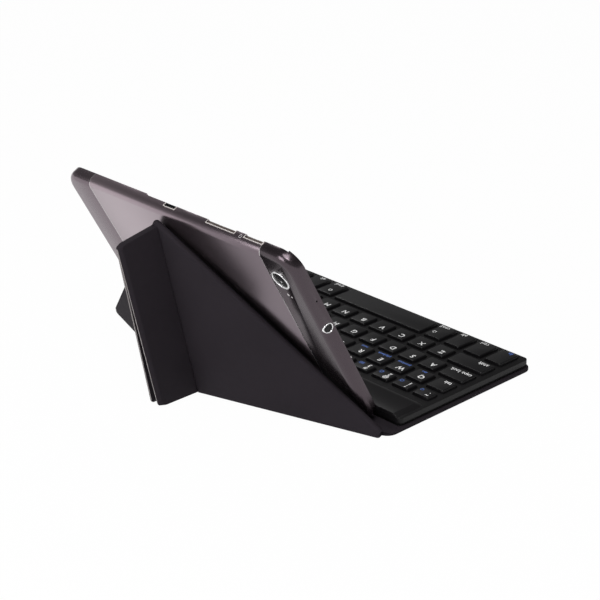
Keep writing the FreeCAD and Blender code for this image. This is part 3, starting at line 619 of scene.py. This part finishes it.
shell_up = Vector(joints["shell_lift"]["axis"]).normalized()
shell_out = Vector((0, -shell_up.z, shell_up.y))
shell_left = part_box("shell_left_cap")[0][0]
shell_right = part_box("shell_right_cap")[1][0]
SHELL_FOOT_Y, SHELL_FOOT_Z = 57.255 * MM, 0.22 * MM
shell_foot = ((shell_left + shell_right) / 2, SHELL_FOOT_Y, SHELL_FOOT_Z)
shell_place = Matrix.Translation(shell_foot) @ Matrix((
    (1, 0, 0, 0),
    (0, shell_up.y, shell_out.y, 0),
    (0, shell_up.z, shell_out.z, 0),
    (0, 0, 0, 1),
))
SHELL_HEIGHT = 132.5
BACK_ROUND = 4.5
SHELL_SMOOTH = 28.0
WINDOW_SPAN = (4.4, 6.6)
JACK_UP, JACK_OUT = 78.5, 3.7
SHELL_HALF = (shell_right - shell_left) / 2 / MM


def on_shell(shape):
    """Carry a shape drawn in shell millimetres to its place."""
    bmesh.ops.transform(shape, matrix=shell_place @ Matrix.Scale(MM, 4), verts=shape.verts)


softened("shell_centre", "shell_body", 0.15, 2, smooth_angle=SHELL_SMOOTH)
softened("shell_left_cap", "shell_cap", 0.15, 2, smooth_angle=SHELL_SMOOTH)
softened("shell_right_cap", "shell_cap", 0.15, 2, smooth_angle=SHELL_SMOOTH)
softened("seam_trims", "seam_metal", 0.0, smooth_angle=SHELL_SMOOTH)
softened("camera_ring", "ring_metal", 0.25, 3)
softened("camera_window", "window_black", 0.0)
softened("infrared_window", "window_black", 0.0)
softened("volume_button", "shell_button", 0.25, 2)
softened("power_button", "shell_button", 0.25, 2)


def painted_highlight_rim(name, middle, width):
    """A raised U-shaped strip round a window in the shell's upper wall, pale in colour: painted highlight where
    the window's edge catches the light.
    """
    shape = bmesh.new()
    band, proud = 0.5, 0.25
    low, high = WINDOW_SPAN
    bars = [
        (middle - width / 2 - band / 2, (low + high) / 2, band, high - low),
        (middle + width / 2 + band / 2, (low + high) / 2, band, high - low),
        (middle, low - band / 2, width + band * 2, band),
    ]
    for across, out, length, height in bars:
        made = bmesh.ops.create_cube(shape, size=1.0)
        bmesh.ops.scale(shape, vec=(length, proud * 2, height), verts=made["verts"])
        bmesh.ops.translate(shape, vec=(across, SHELL_HEIGHT, out), verts=made["verts"])
    on_shell(shape)
    return add_piece(shape, name, "pale_painted_highlight", "tablet_shell")


painted_highlight_rim("volume_window_painted_highlight", -40.5, 22.8)
painted_highlight_rim("power_window_painted_highlight", -67.0, 13.8)
painted_highlight_rim("infrared_window_painted_highlight", 2.7, 9.0)


def ring_on(name, centre, axis, radius, thickness, finish, edge_round=0.0):
    """A round rim: a small circle spun about an axis.  It follows the wall round the back edge."""
    turns, sides = 48, 12
    shape = bmesh.new()
    made = bmesh.ops.create_circle(shape, segments=sides, radius=thickness, cap_ends=False)
    circle_edges = shape.edges[:]
    side_way = Vector(axis).orthogonal().normalized()
    spin_way = Vector(axis)
    frame_turn = Matrix((side_way, spin_way, side_way.cross(spin_way))).transposed().to_4x4()
    bmesh.ops.transform(
        shape, matrix=Matrix.Translation(Vector(centre) + side_way * radius) @ frame_turn,
        verts=made["verts"],
    )
    bmesh.ops.spin(
        shape, geom=circle_edges + made["verts"], cent=centre, axis=axis, angle=math.tau,
        steps=turns, use_merge=True,
    )
    bmesh.ops.remove_doubles(shape, verts=shape.verts, dist=1e-4)
    bmesh.ops.recalc_face_normals(shape, faces=shape.faces)
    for vertex in shape.verts:
        depth = edge_round - vertex.co.z
        if depth > 0:
            vertex.co.x += edge_round - math.sqrt(max(0.0, edge_round ** 2 - depth ** 2))
    on_shell(shape)
    return add_piece(shape, name, finish, "tablet_shell", 80.0)


# The jack rim's bright ring is painted highlight round the edge of the jack hole.
ring_on(
    "jack_painted_highlight_rim", (-SHELL_HALF, JACK_UP, JACK_OUT), (1, 0, 0), 2.75, 0.32, "ring_metal",
    BACK_ROUND,
)
ring_on("power_mark", (-57.3, SHELL_HEIGHT, 4.2), (0, 1, 0), 0.95, 0.16, "mark_grey")


def disc_on(name, centre, axis, radius, height, finish, dome=0.0):
    """A low round button shape, slightly crowned, in shell millimetres."""
    shape = bmesh.new()
    made = bmesh.ops.create_cone(
        shape, cap_ends=True, segments=40, radius1=radius, radius2=radius * (1 - dome),
        depth=height,
    )
    turn = Vector((0, 0, 1)).rotation_difference(Vector(axis)).to_matrix().to_4x4()
    bmesh.ops.transform(shape, matrix=Matrix.Translation(centre) @ turn, verts=made["verts"])
    round_over(shape, sharp_edges(shape), min(radius, height) * 0.2 / MM, 2)
    on_shell(shape)
    return add_piece(shape, name, finish, "tablet_shell")


disc_on(
    "lens_glass", (-81.7, 112.5, 0.35), (0, 0, -1), 2.3, 0.4, "lens_glass", 0.25,
)
disc_on(
    "jack_hole_shade", (-SHELL_HALF + 0.75, JACK_UP, JACK_OUT), (1, 0, 0), 2.65, 0.4, "felt",
)
disc_on("flash_window", (-82.2, 101.6, 0.0), (0, 0, -1), 0.9, 0.12, "mark_grey")
disc_on("flash_mark", (-84.4, 100.6, 0.0), (0, 0, -1), 0.55, 0.12, "mark_grey")

# --- key legends ------------------------------------------------------------------------------

LETTER = 5.3
FIGURE = 4.3
SMALL = 2.8
WORD = 4.2
LETTER_WEIGHT, WORD_WEIGHT = 0.026, 0.014


def words(text, x, y, height, weight=LETTER_WEIGHT):
    """Printed letters lying on a key top, read from the front."""
    curve = bpy.data.curves.new("printing", "FONT")
    curve.body = text
    curve.size = height * MM
    curve.align_x = "CENTER"
    curve.align_y = "CENTER"
    curve.resolution_u = 3
    curve.offset = height * weight * MM
    maker = bpy.data.objects.new("printing", curve)
    bpy.context.scene.collection.objects.link(maker)
    bpy.context.view_layer.update()
    mesh = bpy.data.meshes.new_from_object(maker)
    bpy.data.objects.remove(maker)
    shape = bmesh.new()
    shape.from_mesh(mesh)
    bpy.data.meshes.remove(mesh)
    bmesh.ops.translate(shape, vec=(x * MM, y * MM, key_top + 0.02 * MM), verts=shape.verts)
    return shape


legend_groups = {}


def legend(key, finish, shape):
    """Collect the legends of one key body and colour, to be one piece."""
    legend_groups.setdefault((key, finish), []).append(shape)


KEY_PITCH = 16.5
ROWS = {
    "number_keys": (-99.25, 14.3, 12.3, 8.3),
    "top_letter_keys": (-98.15, -2.2, 12.3, 12.3),
    "home_letter_keys": (-92.15, -18.7, 12.3, 12.3),
    "lower_letter_keys": (-83.85, -35.2, 12.3, 12.3),
}
LETTERS = {
    "top_letter_keys": "QWERTYUIOP[]",
    "home_letter_keys": "ASDFGHJKL;'",
    "lower_letter_keys": "ZXCVBNM,./",
}
SHIFTED = {"[": "{", "]": "}", ";": ":", "'": '"', ",": "<", ".": ">", "/": "?"}
for key, letters in LETTERS.items():
    left, low, width, depth = ROWS[key]
    for place, letter in enumerate(letters):
        x = left + KEY_PITCH * place + width / 2
        y = low + depth / 2
        if letter in SHIFTED:
            legend(key, "legend_white", words(SHIFTED[letter], x - 2.6, y + 2.6, FIGURE))
            legend(key, "legend_white", words(letter, x - 2.6, y - 2.2, FIGURE))
        else:
            legend(key, "legend_white", words(letter, x - 2.1, y + 1.5, LETTER))
FIGURES = ["1!", "2@", "3#", "4$", "5%", "6^", "7&", "8*", "9(", "0)", "-_", "=+"]
left, low, width, depth = ROWS["number_keys"]
for place, pair in enumerate(FIGURES):
    x = left + KEY_PITCH * place + width / 2
    y = low + depth / 2
    legend("number_keys", "legend_white", words(pair[0], x - 2.8, y - 2.1, FIGURE))
    legend("number_keys", "legend_white", words(pair[1], x - 2.9, y + 1.9, FIGURE * 0.9))
grave_x = -109.2
legend("grave_key", "legend_white", words("`", grave_x - 2.8, 16.0, FIGURE))
legend("grave_key", "legend_white", words("~", grave_x - 2.9, 20.3, FIGURE))
for place, word in ((0, "esc"), (1, "previous"), (2, "playback"), (3, "next")):
    x = ROWS["top_letter_keys"][0] + KEY_PITCH * place + 6.15
    legend("top_letter_keys", "legend_blue", words(word, x + 0.9, -0.5, SMALL))

WORDS = [
    ("fn_key", "fn", -110.2, -54.6),
    ("ctrl_key", "ctrl", -90.3, -54.2),
    ("left_alt_key", "alt", -73.3, -54.4),
    ("left_cmd_key", "cmd", -57.5, -54.5),
    ("right_cmd_key", "cmd", 35.8, -54.3),
    ("right_alt_key", "alt", 51.4, -54.0),
    ("left_shift_key", "shift", -108.2, -32.6),
    ("caps_lock_key", "caps lock", -106.0, -15.6),
    ("tab_key", "tab", -110.2, 0.4),
    ("right_shift_key", "shift", 108.2, -32.6),
    ("enter_key", "enter", 107.5, -16.0),
    ("backspace_key", "del", 109.0, 16.6),
    ("backslash_key", "\\", 104.0, 2.0),
    ("backslash_key", "|", 104.0, 6.4),
]
for key, word, x, y in WORDS:
    finish = "legend_blue" if key == "fn_key" else "legend_white"
    legend(key, finish, words(word, x, y, WORD, WORD_WEIGHT))


def stamp(kind, x, y, size):
    """A small printed sign on a key top: ring, sun, grid, house or arrow."""
    shape = bmesh.new()
    height = key_top + 0.02 * MM
    if kind in ("ring", "sun"):
        bmesh.ops.create_circle(shape, segments=24, radius=size * 0.36, cap_ends=False)
        bmesh.ops.create_circle(shape, segments=24, radius=size * 0.24, cap_ends=False)
        bmesh.ops.bridge_loops(shape, edges=shape.edges[:])
        if kind == "sun":
            for ray in range(8):
                made = bmesh.ops.create_grid(shape, x_segments=1, y_segments=1, size=0.5)["verts"]
                bmesh.ops.scale(shape, vec=(size * 0.14, size * 0.07, 1), verts=made)
                bmesh.ops.translate(shape, vec=(size * 0.48, 0, 0), verts=made)
                turn = Matrix.Rotation(ray * math.tau / 8, 3, "Z")
                bmesh.ops.rotate(shape, matrix=turn, verts=made)
    elif kind == "grid":
        for column in range(4):
            for line in range(3):
                made = bmesh.ops.create_grid(shape, x_segments=1, y_segments=1, size=0.5)["verts"]
                bmesh.ops.scale(shape, vec=(size * 0.2, size * 0.16, 1), verts=made)
                bmesh.ops.translate(
                    shape, vec=((column - 1.5) * size * 0.27, (line - 1) * size * 0.24, 0),
                    verts=made,
                )
    elif kind == "house":
        bmesh.ops.create_circle(shape, segments=5, radius=size * 0.5, cap_ends=False)
        bmesh.ops.create_circle(shape, segments=5, radius=size * 0.33, cap_ends=False)
        bmesh.ops.bridge_loops(shape, edges=shape.edges[:])
    else:
        made = bmesh.ops.create_circle(
            shape, segments=3, radius=size * 0.45, cap_ends=True,
        )["verts"]
        turns = {"left": 90, "right": -90, "up": 0, "down": 180}
        bmesh.ops.rotate(
            shape, matrix=Matrix.Rotation(math.radians(turns[kind]), 3, "Z"), verts=made,
        )
    bmesh.ops.scale(shape, vec=(MM, MM, 1), verts=shape.verts)
    bmesh.ops.translate(shape, vec=(x * MM, y * MM, height), verts=shape.verts)
    return shape


SIGNS = [
    "sun", "sun", "grid", "ring", "left", "right",
    "ring", "sun", "grid", "ring", "left", "right",
]
legend("grave_key", "legend_blue", stamp("ring", grave_x + 3.7, 16.7, 3.2))
for place, kind in enumerate(SIGNS):
    x = left + KEY_PITCH * place + width / 2
    legend("number_keys", "legend_blue", stamp(kind, x + 3.8, 16.5, 3.4))
legend("left_cmd_key", "legend_white", stamp("house", -56.8, -45.6, 3.0))
legend("right_cmd_key", "legend_white", stamp("house", 34.8, -45.0, 3.0))
arrow_low, arrow_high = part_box("arrow_keys")
arrow_step = (arrow_high[0] - arrow_low[0]) / MM / 3
for place, kind in enumerate(("left", "down", "right")):
    x = arrow_low[0] / MM + arrow_step * (place + 0.5)
    legend("arrow_keys", "legend_white", stamp(kind, x, -47.7, 3.0))
    if kind == "down":
        legend("arrow_keys", "legend_white", stamp("up", x, -42.6, 3.0))

for (key, finish), shapes in legend_groups.items():
    whole = bmesh.new()
    for shape in shapes:
        mesh = bpy.data.meshes.new("legend_part")
        shape.to_mesh(mesh)
        shape.free()
        whole.from_mesh(mesh)
        bpy.data.meshes.remove(mesh)
    for face in whole.faces:
        face.normal_update()
        if face.normal.z < 0:
            face.normal_flip()
    colour = finish.split("_")[1]
    add_piece(whole, f"{key}_{colour}_legends", finish, body_of_node[key])

# --- floor, light and camera ------------------------------------------------------------------

floor_mesh = bpy.data.meshes.new("studio_floor")
floor_shape = bmesh.new()
bmesh.ops.create_grid(floor_shape, x_segments=1, y_segments=1, size=6.0)
floor_shape.to_mesh(floor_mesh)
floor_shape.free()
floor = bpy.data.objects.new("studio_floor", floor_mesh)
bpy.context.scene.collection.objects.link(floor)
floor_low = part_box("base_skin")[0][2] - 0.2 * MM
for vertex in floor_mesh.vertices:
    vertex.co.z = floor_low
paper, paper_tree, paper_shader = new_finish("studio_paper")
paper_shader.inputs["Base Color"].default_value = (0.86, 0.86, 0.86, 1)
paper_shader.inputs["Roughness"].default_value = 0.9
paper_shader.inputs["Specular IOR Level"].default_value = 0.1
white = paper_tree.nodes.new("ShaderNodeEmission")
white.inputs["Color"].default_value = (1, 1, 1, 1)
white.inputs["Strength"].default_value = 1.0
path = paper_tree.nodes.new("ShaderNodeLightPath")
seen = paper_tree.nodes.new("ShaderNodeMath")
seen.operation = "ADD"
seen_glossy = paper_tree.nodes.new("ShaderNodeMath")
seen_glossy.operation = "ADD"
paper_tree.links.new(path.outputs["Is Camera Ray"], seen.inputs[0])
paper_tree.links.new(path.outputs["Is Glossy Ray"], seen.inputs[1])
paper_tree.links.new(seen.outputs["Value"], seen_glossy.inputs[0])
paper_tree.links.new(path.outputs["Is Transmission Ray"], seen_glossy.inputs[1])
share = paper_tree.nodes.new("ShaderNodeMath")
share.operation = "MULTIPLY"
share.use_clamp = True
share.inputs[1].default_value = 0.975
paper_tree.links.new(seen_glossy.outputs["Value"], share.inputs[0])
mix = paper_tree.nodes.new("ShaderNodeMixShader")
paper_tree.links.new(share.outputs["Value"], mix.inputs["Fac"])
paper_tree.links.new(paper_shader.outputs["BSDF"], mix.inputs[1])
paper_tree.links.new(white.outputs["Emission"], mix.inputs[2])
output = paper_tree.nodes["Material Output"]
paper_tree.links.new(mix.outputs["Shader"], output.inputs["Surface"])
floor_mesh.materials.append(paper)

world = bpy.data.worlds.new("studio_world")
bpy.context.scene.world = world
world.use_nodes = True
tree = world.node_tree
background = tree.nodes["Background"]
background.inputs["Color"].default_value = (1, 1, 1, 1)
path = tree.nodes.new("ShaderNodeLightPath")
seen = tree.nodes.new("ShaderNodeMath")
seen.operation = "ADD"
seen.use_clamp = True
tree.links.new(path.outputs["Is Camera Ray"], seen.inputs[0])
tree.links.new(path.outputs["Is Transmission Ray"], seen.inputs[1])
strength = tree.nodes.new("ShaderNodeMapRange")
strength.inputs["To Max"].default_value = 1.0
tree.links.new(seen.outputs["Value"], strength.inputs["Value"])
tree.links.new(strength.outputs["Result"], background.inputs["Strength"])
sky = tree.nodes.new("ShaderNodeMapRange")
sky.interpolation_type = "SMOOTHSTEP"
sky.inputs["From Min"].default_value = 0.05
sky.inputs["From Max"].default_value = 0.55
sky.inputs["To Min"].default_value = 0.26
sky.inputs["To Max"].default_value = 0.11
direction = tree.nodes.new("ShaderNodeTexCoord")
height = tree.nodes.new("ShaderNodeSeparateXYZ")
tree.links.new(direction.outputs["Generated"], height.inputs["Vector"])
tree.links.new(height.outputs["Z"], sky.inputs["Value"])
tree.links.new(sky.outputs["Result"], strength.inputs["To Min"])


def softbox(name, place, size, power):
    """A square soft light that looks at the object."""
    data = bpy.data.lights.new(name, "AREA")
    data.shape = "SQUARE"
    data.size = size
    data.energy = power
    lamp = bpy.data.objects.new(name, data)
    lamp.location = place
    aim = Vector((0, 0.03, 0.03)) - Vector(place)
    lamp.rotation_euler = aim.to_track_quat("-Z", "Y").to_euler()
    bpy.context.scene.collection.objects.link(lamp)
    return lamp


softbox("edge_softbox", (1.22, -0.62, 1.18), 0.3, 3.5)
softbox("top_softbox", (-0.48, 0.64, 1.39), 0.9, 15.0)
softbox("rear_softbox", (0.15, 1.7, 0.55), 0.8, 13.0)
softbox("corner_softbox", (-0.75, 0.85, 1.15), 0.3, 3.0)

VIEW_AZIMUTH = math.radians(227.586)
VIEW_ELEVATION = math.radians(23.821)
VIEW_ROLL = math.radians(-1.018)
VIEW_TARGET = Vector((0.03658, -0.01968, 0.00858))
VIEW_DISTANCE = 1.0979
back_way = Vector((
    math.sin(VIEW_AZIMUTH) * math.cos(VIEW_ELEVATION),
    -math.cos(VIEW_AZIMUTH) * math.cos(VIEW_ELEVATION),
    math.sin(VIEW_ELEVATION),
))
level_right = (-back_way).cross(Vector((0, 0, 1))).normalized()
level_up = level_right.cross(-back_way)
right_way = level_right * math.cos(VIEW_ROLL) + level_up * math.sin(VIEW_ROLL)
up_way = level_up * math.cos(VIEW_ROLL) - level_right * math.sin(VIEW_ROLL)
camera_data = bpy.data.cameras.new("studio_camera")
camera_data.lens = 102.854
camera_data.sensor_width = 36.0
camera = bpy.data.objects.new("studio_camera", camera_data)
camera.matrix_world = Matrix.Translation(VIEW_TARGET + back_way * VIEW_DISTANCE) @ Matrix(
    (right_way, up_way, back_way)).transposed().to_4x4()
bpy.context.scene.collection.objects.link(camera)
bpy.context.scene.camera = camera
bpy.context.scene.view_settings.view_transform = "Standard"
